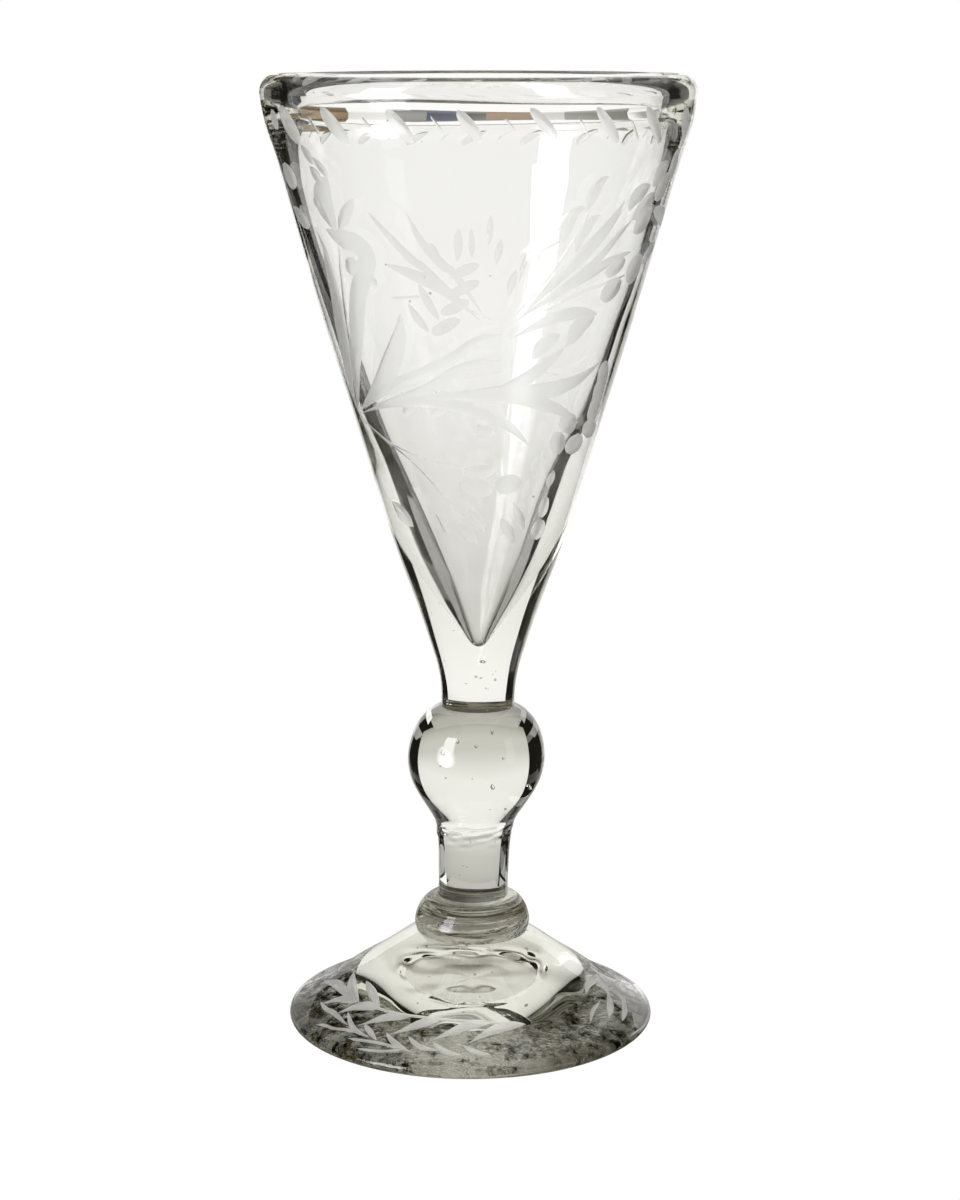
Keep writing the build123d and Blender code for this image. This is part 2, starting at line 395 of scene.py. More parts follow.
CUT_SPRAY = [
    ("tear", 0.64, 5.53, [(-64.1, 166.42), (-49.03, 173.42), (-38.32, 181.46), (-30.35, 189.42), (-27.72, 193.53)]),
    ("leaf", 0.87, 0.87, [(-57.91, 167.65), (-34.49, 176.03), (-15.96, 179.25)]),
    ("tear", 1.76, 1.76, [(-60.42, 166.95), (-32.8, 175.34), (-12.17, 181.62), (-0.18, 187.28), (9.31, 188.73)]),
    ("tear", 0.51, 2.81, [(-52.38, 168.55), (-33.91, 172.2), (-20.67, 175.55), (-10.04, 179.88), (-0.19, 181.98), (8.72, 181.93)]),
    ("tear", 0.63, 3.42, [(-3.42, 173.03), (8.07, 175.05), (19.21, 178.79), (33.68, 185.24)]),
    ("tear", 0.65, 4.58, [(-34.49, 170.63), (-15.67, 172.86), (-6.19, 173.78), (8.07, 175.05), (27.67, 175.31), (42.32, 176.91), (54.85, 179.72)]),
    ("tear", 3.46, 0.59, [(-41.43, 169.61), (-21.0, 171.81), (-2.64, 172.14), (15.92, 171.05), (32.82, 168.12), (50.32, 164.26)]),
    ("tear", 3.03, 0.61, [(-63.61, 165.93), (-42.36, 168.91), (-24.95, 170.26), (-11.08, 169.34), (1.04, 167.35), (12.02, 164.64), (23.86, 159.61)]),
    ("line", 0.3, 0.34, [(-66.02, 164.97), (-49.57, 160.39), (-37.12, 157.97), (-20.37, 155.51), (-1.74, 153.44), (7.5, 151.9)]),
    ("line", 0.3, 0.36, [(-65.48, 164.49), (-40.95, 157.77), (-27.82, 152.2), (-15.21, 144.45), (-6.0, 140.8)]),
]
CUT_FAN = [
    ("line", 0.44, 0.44, [(11.5, 192.08), (17.33, 197.31), (22.9, 202.61), (26.83, 207.41), (30.58, 212.42), (32.62, 216.25), (33.62, 218.52)]),
    ("leaf", 1.61, 1.61, [(32.37, 217.95), (33.62, 221.89), (35.69, 225.19), (38.08, 226.68)]),
    ("leaf", 1.63, 1.63, [(25.17, 209.66), (26.77, 214.24), (28.79, 218.06), (32.27, 219.76)]),
    ("leaf", 1.75, 1.75, [(31.04, 208.38), (32.46, 212.73), (34.73, 215.69), (37.78, 217.28)]),
    ("tear", 2.3, 2.3, [(14.25, 192.65), (25.58, 201.55), (36.22, 209.29), (42.99, 215.38), (46.71, 220.59)]),
    ("tear", 0.73, 1.81, [(23.8, 197.76), (30.21, 201.39), (36.5, 204.6), (42.34, 208.18), (47.26, 212.5), (52.99, 215.92)]),
    ("tear", 2.7, 0.6, [(11.59, 191.07), (16.28, 193.36), (23.52, 196.41), (30.75, 199.26), (38.59, 202.04), (46.95, 204.87), (57.02, 207.44)]),
    ("line", 0.49, 0.49, [(21.21, 193.98), (28.8, 196.23), (36.85, 198.39), (45.78, 199.96), (57.72, 201.79)]),
    ("oval", 2.2, 2.2, [(45.44, 202.34), (54.65, 205.46)]),
    ("oval", 3.97, 3.97, [(57.33, 200.94), (67.4, 204.72)]),
    ("oval", 2.92, 2.92, [(45.74, 196.21), (55.59, 200.17)]),
    ("tear", 3.11, 0.56, [(9.82, 186.84), (19.37, 189.53), (27.24, 191.29), (36.31, 192.17), (46.28, 192.3)]),
    ("leaf", 2.6, 2.6, [(33.85, 184.73), (38.53, 189.68), (45.04, 191.61)]),
    ("leaf", 2.06, 2.06, [(20.26, 181.94), (24.51, 185.73), (30.64, 188.27)]),
    ("line", 0.36, 0.36, [(23.98, 181.57), (34.14, 185.22)]),
    ("leaf", 2.4, 2.4, [(49.66, 217.54), (51.31, 221.13), (57.83, 223.78)]),
    ("leaf", 2.5, 2.5, [(51.67, 215.49), (56.2, 217.98), (62.01, 221.88)]),
    ("leaf", 3.43, 3.43, [(54.61, 212.15), (59.46, 215.36), (63.56, 218.61)]),
    ("leaf", 3.1, 3.1, [(58.68, 223.38), (61.79, 226.18), (66.4, 228.92)]),
    ("leaf", 3.59, 3.59, [(62.88, 219.87), (66.89, 222.88), (71.57, 225.63)]),
    ("leaf", 4.58, 4.58, [(67.87, 226.65), (75.25, 229.41)]),
    ("oval", 10.97, 10.97, [(76.86, 212.8), (78.22, 217.23)]),
    ("oval", 5.08, 5.08, [(74.01, 203.8), (71.91, 208.45)]),
    ("line", 0.26, 0.26, [(-2.84, 194.65), (4.94, 192.27)]),
    ("line", 0.23, 0.23, [(26.54, 205.46), (28.91, 202.92)]),
    ("line", 0.29, 0.29, [(22.21, 179.21), (32.94, 177.64)]),
]
CUT_BUDS = [
    ("oval", 4.49, 4.49, [(56.72, 174.46), (65.04, 176.95)]),
    ("oval", 4.41, 4.41, [(56.2, 170.36), (66.23, 172.48)]),
    ("oval", 4.37, 4.37, [(55.92, 165.97), (66.73, 167.78)]),
    ("oval", 4.7, 4.7, [(61.51, 159.56), (64.37, 164.31)]),
    ("oval", 3.68, 3.68, [(51.46, 155.8), (52.42, 161.51)]),
    ("oval", 2.39, 2.39, [(36.61, 162.72), (42.84, 156.6)]),
    ("oval", 3.42, 3.42, [(40.84, 162.49), (46.71, 166.58)]),
    ("oval", 1.94, 1.94, [(-7.22, 152.6), (8.56, 153.65)]),
    ("oval", 2.63, 2.63, [(-9.46, 150.44), (7.07, 147.54)]),
    ("oval", 2.72, 2.72, [(7.98, 149.13), (22.77, 150.12)]),
    ("oval", 1.77, 1.77, [(-2.42, 163.97), (7.7, 163.4)]),
    ("oval", 1.15, 1.15, [(-33.92, 168.06), (-26.97, 169.66)]),
    ("oval", 1.18, 1.18, [(-20.44, 168.08), (-13.64, 169.29)]),
    ("line", 0.36, 0.36, [(-25.05, 142.01), (-19.6, 135.96)]),
    ("leaf", 0.79, 0.79, [(-5.83, 143.52), (3.85, 137.04)]),
    ("leaf", 1.04, 1.04, [(19.04, 144.89), (29.17, 136.99)]),
    ("leaf", 1.68, 1.68, [(-13.78, 139.63), (-0.36, 133.78)]),
    ("leaf", 1.39, 1.39, [(12.92, 140.73), (22.87, 133.68)]),
    ("oval", 1.66, 1.66, [(39.59, 145.64), (40.17, 139.72)]),
    ("oval", 2.36, 2.36, [(38.75, 139.52), (40.05, 133.78)]),
    ("leaf", 2.36, 2.36, [(-58.37, 143.14), (-42.85, 137.14)]),
    ("leaf", 1.33, 1.33, [(39.78, 147.77), (41.21, 152.47)]),
]
CUT_REAR = [
    ("tear", 2.63, 0.47, [(177.79, 181.19), (-169.54, 189.14), (-157.18, 197.8), (-151.49, 201.37), (-138.08, 214.41)]),
    ("tear", 2.84, 0.45, [(177.01, 183.29), (-169.99, 195.46), (-164.98, 198.69), (-157.5, 205.95), (-154.11, 213.41)]),
    ("leaf", 2.6, 1.44, [(-176.49, 184.35), (-164.99, 191.32), (-153.62, 195.79), (-141.01, 199.9)]),
    ("leaf", 1.29, 1.29, [(-164.4, 200.28), (-162.62, 204.27), (-161.75, 206.13)]),
    ("leaf", 1.37, 1.37, [(-171.77, 200.19), (-172.96, 209.95)]),
    ("leaf", 0.95, 0.95, [(-177.6, 201.21), (-177.39, 209.93)]),
    ("oval", 1.77, 1.77, [(-168.47, 195.48), (179.52, 199.36)]),
    ("oval", 1.77, 1.77, [(-168.02, 189.95), (179.12, 194.09)]),
    ("oval", 1.9, 1.9, [(-163.32, 183.98), (-176.59, 188.03)]),
    ("oval", 1.89, 1.89, [(-157.61, 178.08), (-172.32, 182.27)]),
    ("leaf", 1.46, 1.46, [(-154.91, 193.91), (-158.0, 187.78), (-162.19, 181.9)]),
    ("leaf", 1.53, 1.53, [(-148.39, 187.55), (-151.31, 182.73), (-156.35, 178.64)]),
    ("line", 0.43, 0.43, [(-139.51, 189.3), (-156.22, 189.67)]),
    ("tear", 0.58, 1.73, [(162.97, 193.2), (161.4, 199.29), (156.9, 207.28)]),
    ("leaf", 1.1, 1.1, [(172.94, 199.13), (171.55, 207.05)]),
    ("leaf", 0.95, 0.95, [(176.02, 204.91), (175.56, 213.37)]),
    ("leaf", 1.26, 1.26, [(166.9, 189.18), (165.01, 197.64)]),
]
CUT_LAUREL = [
    ("leaf", 1.44, 1.44, [(-97.08, 6.88), (-80.95, 9.66), (-61.17, 10.11)]),
    ("leaf", 1.56, 1.56, [(-81.8, 12.78), (-68.32, 11.33), (-55.52, 10.0)]),
    ("leaf", 1.2, 1.2, [(-64.74, 13.51), (-52.54, 12.33), (-43.26, 10.69)]),
    ("tear", 2.48, 0.74, [(-74.6, 6.15), (-67.69, 8.27), (-56.29, 10.0)]),
    ("leaf", 0.69, 0.81, [(-76.6, 6.3), (-68.2, 6.36), (-61.9, 6.69), (-50.23, 6.2)]),
    ("tear", 2.86, 0.61, [(-60.95, 6.75), (-54.44, 8.77), (-42.48, 10.47)]),
    ("line", 0.51, 0.51, [(-63.08, 4.05), (-59.03, 4.64), (-53.85, 4.93), (-49.5, 5.47), (-44.18, 5.66)]),
    ("leaf", 0.53, 0.91, [(-56.58, 7.91), (-46.06, 6.14), (-37.36, 5.61)]),
    ("tear", 2.45, 0.53, [(-46.44, 6.64), (-37.48, 8.75), (-26.75, 10.19)]),
    ("leaf", 0.79, 0.79, [(-44.17, 7.31), (-34.31, 5.51)]),
    ("line", 0.48, 0.48, [(-45.16, 4.53), (-33.47, 5.17), (-23.5, 5.04)]),
    ("line", 0.43, 0.43, [(-55.77, 10.08), (-42.65, 10.41), (-31.09, 10.52), (-19.62, 10.73), (-0.21, 10.65), (11.14, 10.17), (23.24, 9.45)]),
    ("tear", 2.59, 0.52, [(-30.62, 6.96), (-21.61, 8.72), (-12.98, 10.48)]),
    ("tear", 2.69, 0.48, [(-15.14, 6.8), (-7.83, 8.12), (-0.15, 9.35), (9.04, 10.23)]),
    ("tear", 2.67, 0.48, [(-1.5, 6.64), (6.83, 8.14), (14.3, 8.88), (23.24, 9.45)]),
    ("leaf", 0.62, 0.99, [(-23.72, 7.15), (-17.9, 5.87), (-10.99, 5.45)]),
    ("leaf", 0.58, 1.15, [(-32.79, 6.93), (-26.46, 5.71), (-20.72, 4.83)]),
    ("leaf", 0.63, 1.07, [(-13.99, 6.77), (-8.22, 5.45), (-2.67, 5.0)]),
    ("leaf", 0.65, 0.98, [(-2.92, 6.55), (2.71, 5.47), (7.35, 5.01)]),
    ("line", 0.45, 0.45, [(-38.77, 3.53), (-30.45, 4.04), (-23.33, 4.89)]),
    ("leaf", 1.11, 1.11, [(63.35, 11.12), (73.01, 11.96), (90.14, 10.96)]),
    ("leaf", 2.03, 2.03, [(92.4, 10.89), (83.56, 9.9), (78.42, 8.52)]),
    ("leaf", 1.06, 1.06, [(79.89, 8.71), (70.87, 7.41), (61.89, 6.27)]),
    ("leaf", 1.67, 1.67, [(82.81, 9.26), (84.46, 7.14), (79.85, 5.79)]),
    ("leaf", 0.55, 0.55, [(67.19, 8.83), (57.83, 8.23), (50.86, 6.87)]),
    ("leaf", 0.82, 0.82, [(82.78, 6.49), (74.18, 5.54), (65.06, 4.81)]),
]


def turned(cuts, deg):
    return [(k, a, b, [(t + deg, z) for t, z in pts]) for k, a, b, pts in cuts]


def smooth_line(pts, step):
    """Catmull-Rom through pts, as evenly spaced points."""
    p = np.array(pts, float)
    if len(p) == 2:
        n = max(6, int(round(np.linalg.norm(p[1] - p[0]) / step)))
        return p[0] + (p[1] - p[0]) * np.linspace(0, 1, n + 1)[:, None]
    q = np.vstack([2 * p[0] - p[1], p, 2 * p[-1] - p[-2]])
    out = []
    for i in range(1, len(q) - 2):
        t = np.linspace(0, 1, 16, endpoint=False)[:, None]
        a, b, c, d = q[i - 1], q[i], q[i + 1], q[i + 2]
        out.append(0.5 * (2 * b + (c - a) * t + (2 * a - 5 * b + 4 * c - d) * t**2 + (3 * b - 3 * c + d - a) * t**3))
    out.append(p[-1:])
    f = np.concatenate(out)
    s = np.concatenate([[0], np.cumsum(np.linalg.norm(np.diff(f, axis=0), axis=1))])
    n = max(8, int(round(s[-1] / step)))
    u = np.linspace(0, s[-1], n + 1)
    return np.stack([np.interp(u, s, f[:, 0]), np.interp(u, s, f[:, 1])], 1)


def swell(kind, t):
    """Width law along a stroke, 0 to 1."""
    if kind == "oval":
        return np.sqrt(np.maximum(0, 1 - (2 * t - 1) ** 2))
    if kind == "line":
        return np.minimum(1, np.minimum(t, 1 - t) / 0.12)
    if kind == "hook":
        return np.minimum(1, np.minimum((t / 0.1) ** 0.7, ((1 - t) / 0.35) ** 0.8))
    if kind == "tear":
        return np.sin(math.pi * t**1.35) ** 0.8 * (1 - 0.25 * (1 - t)) + 0.0
    return np.sin(math.pi * t) ** 0.75


def stroke(profile, cut, theta0):
    """A stroke in (angle, conformal height): centre line, half widths, depth (mm) at each point and local radius."""
    kind, hl, hr, pts = cut
    th = np.unwrap(np.array([math.radians(t) for t, z in pts]))
    th = th + 2 * math.pi * math.floor(1 - (th.mean() - theta0) / (2 * math.pi))
    while th.mean() > theta0 + 2 * math.pi:
        th = th - 2 * math.pi
    w = np.interp([z for t, z in pts], profile.p[:, 1], profile.w)
    r = float(np.interp(w.mean(), profile.w, profile.p[:, 0]))
    line = smooth_line(np.stack([th, w], 1), (1.1 if kind != "oval" else 0.8) / r)
    t = np.linspace(0, 1, len(line))
    s = np.maximum(swell(kind, t), 0)
    rl = np.interp(line[:, 1], profile.w, profile.p[:, 0])
    wide = hl + hr
    deep = min(0.36, 0.10 + 0.085 * wide) * (0.7 if kind == "line" else 1.0)
    out = dict(kind=kind, line=line, hl=hl * s / rl, hr=hr * s / rl, dep=deep * s**0.8, r=rl)
    edge = np.concatenate([x[:, 0] for x in outline(out)[:2]])
    if edge.min() < theta0 + 0.012 or edge.max() > theta0 + 2 * math.pi - 0.012:
        print("STROKE OVER THE SEAM", kind, pts)
        return None
    return out


def depth_at(st, pts):
    """Depth of one stroke (mm) at points, and how far each point is inside it (below 1 is inside)."""
    line, best, dep, rel = st["line"], np.full(len(pts), 1e9), np.zeros(len(pts)), np.full(len(pts), 1e9)
    for i in range(len(line) - 1):
        a, b = line[i], line[i + 1]
        ab = b - a
        l2 = max(ab @ ab, 1e-18)
        u = np.clip(((pts - a) @ ab) / l2, 0, 1)
        off = pts - (a + u[:, None] * ab)
        d = np.linalg.norm(off, axis=1)
        left = ab[0] * off[:, 1] - ab[1] * off[:, 0] > 0
        hl = st["hl"][i] + (st["hl"][i + 1] - st["hl"][i]) * u
        hr = st["hr"][i] + (st["hr"][i + 1] - st["hr"][i]) * u
        h = np.maximum(np.where(left, hl, hr), 1e-9)
        dd = st["dep"][i] + (st["dep"][i + 1] - st["dep"][i]) * u
        m = d < best
        best = np.where(m, d, best)
        x = d / h
        rel = np.where(m, x, rel)
        dep = np.where(m, dd * np.clip(1 - x**1.5, 0, 1), dep)
    return dep, rel, best


def outline(st):
    line = st["line"]
    tan = np.gradient(line, axis=0)
    tan /= np.linalg.norm(tan, axis=1)[:, None]
    nor = np.stack([-tan[:, 1], tan[:, 0]], 1)
    lo = line + nor * st["hl"][:, None]
    ro = line - nor * st["hr"][:, None]
    return lo, ro, nor


def engraved(point, profile, cuts, seg, rows, theta0, faint=()):
    """The outside skin with its cuts, as triangles over (angle, conformal height). point(theta, w, depth) gives xyz in metres."""
    W = profile.w[-1]
    step = 2 * math.pi / seg
    th = theta0 + np.arange(seg + 1) * step
    ww = np.linspace(0, W, rows + 1)
    sts = [stroke(profile, c, theta0) for c in cuts]
    faint = [c in faint for c, st in zip(cuts, sts) if st is not None]
    sts = [st for st in sts if st is not None]
    gt, gw = np.meshgrid(th, ww)
    grid = np.stack([gt.ravel(), gw.ravel()], 1)
    border = ((np.arange(len(grid)) % (seg + 1) == 0) | (np.arange(len(grid)) % (seg + 1) == seg)
              | (np.arange(len(grid)) < seg + 1) | (np.arange(len(grid)) >= rows * (seg + 1)))
    drop = np.zeros(len(grid), bool)
    for st in sts:
        reach = max(st["hl"].max(), st["hr"].max()) + step
        lo, hi = st["line"].min(0) - reach, st["line"].max(0) + reach
        near = np.where(((grid >= lo) & (grid <= hi)).all(1))[0]
        if len(near) == 0:
            continue
        _, rel, dist = depth_at(st, grid[near])
        h = dist / np.maximum(rel, 1e-9)
        drop[near[dist < h + 0.42 * step]] = True
    drop &= ~border
    keep = np.where(~drop)[0]
    verts = [Vector(p) for p in grid[keep]]
    index = {int(k): i for i, k in enumerate(keep)}
    edges, faces = [], []
    for j in range(seg):
        edges.append((index[j], index[j + 1]))
        edges.append((index[rows * (seg + 1) + j], index[rows * (seg + 1) + j + 1]))
    for i in range(rows):
        edges.append((index[i * (seg + 1)], index[(i + 1) * (seg + 1)]))
        edges.append((index[i * (seg + 1) + seg], index[(i + 1) * (seg + 1) + seg]))
    for st in sts:
        lo, ro, nor = outline(st)
        n = len(lo)
        base = len(verts)
        left = list(range(base, base + n))
        verts += [Vector(p) for p in lo]
        inner = range(1, n - 1)
        right = {}
        for i in inner:
            right[i] = len(verts)
            verts.append(Vector(ro[i]))
        loop = left + [right[i] for i in reversed(inner)]
        at = np.array([tuple(verts[i]) for i in loop])
        nxt = np.roll(at, -1, 0)
        if (at[:, 0] * nxt[:, 1] - nxt[:, 0] * at[:, 1]).sum() < 0:
            loop.reverse()
        faces.append(loop)
        # spine, and half-way rows where the stroke is wide
        prev = None
        for i in inner:
            k = len(verts)
            verts.append(Vector(st["line"][i]))
            if prev is not None:
                edges.append((prev, k))
            prev = k
            if st["hl"][i] * st["r"][i] > 0.9:
                verts.append(Vector(st["line"][i] + nor[i] * st["hl"][i] * 0.5))
            if st["hr"][i] * st["r"][i] > 0.9:
                verts.append(Vector(st["line"][i] - nor[i] * st["hr"][i] * 0.5))
    vo, eo, fo, ov, oe, of_ = delaunay_2d_cdt(verts, edges, faces, 0, 1e-7, True)
    p = np.array([tuple(v) for v in vo])
    cut = np.array([0 if len(o) == 0 else 1 + all(faint[i] for i in o) for o in of_])
    dep = np.zeros(len(p))
    inside = np.zeros(len(p), bool)
    for k, f in enumerate(fo):
        if cut[k]:
            inside[list(f)] = True
    ids = np.where(inside)[0]
    for st in sts:
        reach = max(st["hl"].max(), st["hr"].max()) * 1.5 + 1e-4
        lo, hi = st["line"].min(0) - reach, st["line"].max(0) + reach
        near = ids[((p[ids] >= lo) & (p[ids] <= hi)).all(1)]
        if len(near):
            d, rel, _ = depth_at(st, p[near])
            dep[near] = np.maximum(dep[near], np.where(rel < 0.999, d, 0))
    # weld the seam
    seam_r = np.abs(p[:, 0] - (theta0 + 2 * math.pi)) < 1e-5
    row_of = np.rint(p[:, 1] / W * rows).astype(int)
    seam_l = {int(row_of[i]): i for i in np.where(np.abs(p[:, 0] - theta0) < 1e-5)[0]}
    remap = np.arange(len(p))
    for i in np.where(seam_r)[0]:
        remap[i] = seam_l[int(row_of[i])]
    used = sorted(set(int(remap[i]) for f in fo for i in f))
    new = {o: n for n, o in enumerate(used)}
    tri, flag = [], []
    for k, f in enumerate(fo):
        g = [new[int(remap[i])] for i in f]
        if len(set(g)) == 3:
            tri.append(g)
            flag.append(("plain", "cut", "faint")[cut[k]])
    q = p[used]
    d = dep[used]
    xyz = point(q[:, 0], q[:, 1], d)
    e = 1e-4
    nor = np.cross(point(q[:, 0] + e, q[:, 1], 0 * d) - point(q[:, 0] - e, q[:, 1], 0 * d),
                   point(q[:, 0], np.minimum(q[:, 1] + e, W), 0 * d) - point(q[:, 0], np.maximum(q[:, 1] - e, 0), 0 * d))
    nor /= np.linalg.norm(nor, axis=1)[:, None]

    def ring_at(w):
        out = []
        for j in range(seg):
            t = theta0 + j * step
            k = [i for i in near_rows[w] if abs(q[i, 0] - t) < 1e-5]
            out.append(k[0])
        return out

    near_rows = {0: np.where(np.abs(q[:, 1]) < 1e-5)[0], 1: np.where(np.abs(q[:, 1] - W) < 1e-5)[0]}
    return dict(xyz=xyz, nor=nor, tri=tri, cut=flag, low=ring_at(0), high=ring_at(1), theta=th[:-1])


# ------------------------------------------------------------------ glass bodies
class Body:
    """Collects one closed piece of glass: vertices, faces and what each face is."""

    def __init__(self):
        self.v, self.n, self.f, self.kind = [], [], [], []

    def add(self, xyz, nor=None):
        k = len(self.v)
        self.v += [tuple(p) for p in xyz]
        self.n += [tuple(p) for p in nor] if nor is not None else [(0.0, 0.0, 0.0)] * len(xyz)
        return list(range(k, k + len(xyz)))

    def band(self, a, b, kind="plain"):
        m = len(a)
        for j in range(m):
            k = (j + 1) % m
            self.f.append((a[j], a[k], b[k], b[j]))
            self.kind.append(kind)

    def fan(self, a, kind="plain", flip=False):
        c = self.add([np.mean([self.v[i] for i in a], 0)])[0]
        m = len(a)
        for j in range(m):
            k = (j + 1) % m
            self.f.append((a[k], a[j], c) if flip else (a[j], a[k], c))
            self.kind.append(kind)

    def seed(self, centre, radius, rng, stretch=1.0):
        """A small air bubble inside the glass: a closed shell that faces inwards."""
        u, v = 10, 6
        tilt = rng.uniform(0, math.pi)
        pts = []
        for i in range(1, v):
            for j in range(u):
                a, b = math.pi * i / v, 2 * math.pi * j / u
                x, y, z = math.sin(a) * math.cos(b), math.sin(a) * math.sin(b), math.cos(a) * stretch
                x, z = x * math.cos(tilt * 0.15) - z * math.sin(tilt * 0.15), x * math.sin(tilt * 0.15) + z * math.cos(tilt * 0.15)
                pts.append((centre[0] + radius * x, centre[1] + radius * y, centre[2] + radius * z))
        rows = [self.add(np.array(pts[i * u:(i + 1) * u]) * MM) for i in range(v - 1)]
        for a, b in zip(rows, rows[1:]):
            self.band(a, b, "seed")
        top = self.add(np.array([(centre[0], centre[1], centre[2] + radius * stretch)]) * MM)[0]
        low = self.add(np.array([(centre[0], centre[1], centre[2] - radius * stretch)]) * MM)[0]
        for j in range(u):
            k = (j + 1) % u
            self.f.append((rows[0][k], rows[0][j], top))
            self.f.append((rows[-1][j], rows[-1][k], low))
            self.kind += ["seed", "seed"]

    def build(self, name):
        v = np.array(self.v)
        kind = self.kind
        # outward faces: the main skin by its volume, seeds the other way
        def volume(sel):
            t = np.array([(self.f[i][0], self.f[i][k], self.f[i][k + 1]) for i in sel for k in range(1, len(self.f[i]) - 1)])
            return float((v[t[:, 0]] * np.cross(v[t[:, 1]], v[t[:, 2]])).sum())

        skin = [i for i, k in enumerate(kind) if k != "seed"]
        seeds = [i for i, k in enumerate(kind) if k == "seed"]
        if volume(skin) < 0:
            for i in skin:
                self.f[i] = tuple(reversed(self.f[i]))
        if seeds and volume(seeds) > 0:
            for i in seeds:
                self.f[i] = tuple(reversed(self.f[i]))
        me = bpy.data.meshes.new(name)
        me.from_pydata([tuple(p) for p in v], [], [tuple(int(i) for i in f) for f in self.f])
        me.update()
        for key in ("fused", "cut", "worn", "inner"):
            a = me.attributes.new(key, "FLOAT", "FACE")
            a.data.foreach_set("value", np.array([1.0 if k == key else 0.4 if (k, key) == ("faint", "cut") else 0.0 for k in kind], np.float32))
        # corner normals: joint faces flat, cuts on their own, the rest smooth
        m = len(me.loops)
        vi = np.zeros(m, int)
        me.loops.foreach_get("vertex_index", vi)
        tot = np.zeros(len(me.polygons), int)
        me.polygons.foreach_get("loop_total", tot)
        pi = np.repeat(np.arange(len(tot)), tot)
        fn = np.zeros(len(tot) * 3)
        me.polygons.foreach_get("normal", fn)
        fn = fn.reshape(-1, 3)
        area = np.zeros(len(tot))
        me.polygons.foreach_get("area", area)
        code = np.array([{"fused": 0, "cut": 1, "faint": 1}.get(k, 2) for k in kind])
        out = fn[pi].copy()
        given = np.array(self.n)
        has = np.linalg.norm(given, axis=1) > 0.5
        for c in (1, 2):
            acc = np.zeros_like(v)
            sel = code[pi] == c
            np.add.at(acc, vi[sel], fn[pi[sel]] * area[pi[sel]][:, None])
            acc /= np.maximum(np.linalg.norm(acc, axis=1), 1e-20)[:, None]
            if c == 2:
                flip = np.where((acc * given).sum(1) < 0, -1.0, 1.0)[:, None]
                acc = np.where(has[:, None], given * flip, acc)
            out[sel] = acc[vi[sel]]
        me.shade_smooth()
        me.normals_split_custom_set([tuple(x) for x in out])
        ob = bpy.data.objects.new(name, me)
        bpy.context.scene.collection.objects.link(ob)
        print("BODY", name, len(me.vertices), "verts", len(me.polygons), "faces")
        return ob


def samples(f, n):
    return f(np.linspace(0, 1, n))


def fade(z, lo, hi, span):
    """0 at both joints, 1 away from them."""
    a = np.clip((z - lo) / span, 0, 1)
    b = np.clip((hi - z) / span, 0, 1)
    return a * a * (3 - 2 * a) * b * b * (3 - 2 * b)


SEG = 192
GAP = 0.01          # joint faces never quite coincide


def ring(body, r, z, th, roll=0.0, swell_by=None):
    rr = np.full(len(th), float(r))
    if swell_by is not None:
        rr = rr + swell_by(th, np.full(len(th), float(z)))
    return body.add(place(rr, th, np.full(len(th), float(z)), roll))


def rings(body, pts, th, first=None, last=None, kind="plain", roll=0.0, swell_by=None):
    """Bands through the meridian points; first and last may be rings that exist already."""
    prev = first if first is not None else ring(body, *pts[0], th, roll, swell_by)
    start = prev
    for p in pts[1:-1]:
        cur = ring(body, *p, th, roll, swell_by)
        body.band(prev, cur, kind)
        prev = cur
    end = last if last is not None else ring(body, *pts[-1], th, roll, swell_by)
    body.band(prev, end, kind)
    return start, end


def joint(body, edge, r, z, th, roll=0.0, low=False):
    """Closes a body with a flat joint face that the light passes straight through."""
    cur = edge
    for k in (0.66, 0.33, 0.1):
        nxt = ring(body, r * k, z, th, roll)
        if low:
            body.band(nxt, cur, "fused")
        else:
            body.band(cur, nxt, "fused")
        cur = nxt
    body.fan(cur, "fused", flip=low)


TH = np.linspace(0, 2 * math.pi, SEG, endpoint=False)
rng = np.random.default_rng(41)


def turned_piece(name, side, z0, z1, amp, seed, pitch, seeds, extra=None, n=90):
    """A solid gather between two joints."""
    b = Body()
    pts = samples(side, n)
    pts[0, 1] += GAP
    pts[-1, 1] -= GAP

    def by(th, z):
        out = amp * waves(th, z, seed, 14, 4, pitch) * fade(z, z0, z1, 0.28 * (z1 - z0))
        if extra is not None:
            out = out + extra(th, z)
        return out

    lo, hi = rings(b, pts, TH, swell_by=by)
    joint(b, lo, pts[0, 0], pts[0, 1], TH, low=True)
    joint(b, hi, pts[-1, 0], pts[-1, 1], TH)
    for c, r, k in seeds:
        b.seed(c, r, rng, k)
    return b.build(name)

def chain(*parts):
    out = [parts[0]]
    for p in parts[1:]:
        out.append(p[1:])
    return np.concatenate(out)


def flat(r0, r1, z, n):
    return straight((r0, z), (r1, z))(np.linspace(0, 1, n))


# ------------------------------------------------------------------ merese, stem, knop
def wrinkle(th, z):
    """The uneven seam where knop and stem were joined."""
    g = np.exp(-((z - Z_SK) / 2.6) ** 2)
    return 0.16 * g * waves(th, z * 2.2, 77, 16, 9, 4.0)


def seeds_in(lo, hi, radius_at, n, seed, big=()):
    """Seeds scattered inside a turned solid; big adds listed ones as (x, y, z, radius, stretch)."""
    g = np.random.default_rng(seed)
    out = []
    for _ in range(n):
        z = g.uniform(lo + 1.2, hi - 1.2)
        r = radius_at(z) * 0.86 * math.sqrt(g.uniform(0, 1))
        a = g.uniform(0, 2 * math.pi)
        out.append(((r * math.sin(a) + float(lean(z)), -r * math.cos(a), z), float(np.exp(g.normal(-1.75, 0.38))), g.uniform(0.9, 1.35)))
    for x, y, z, rad, k in big:
        out.append(((x, y, z), rad, k))
    return out


def radius_of(f):
    p = f(np.linspace(0, 1, 200))
    o = np.argsort(p[:, 1])
    return lambda z: float(np.interp(z, p[o, 1], p[o, 0]))


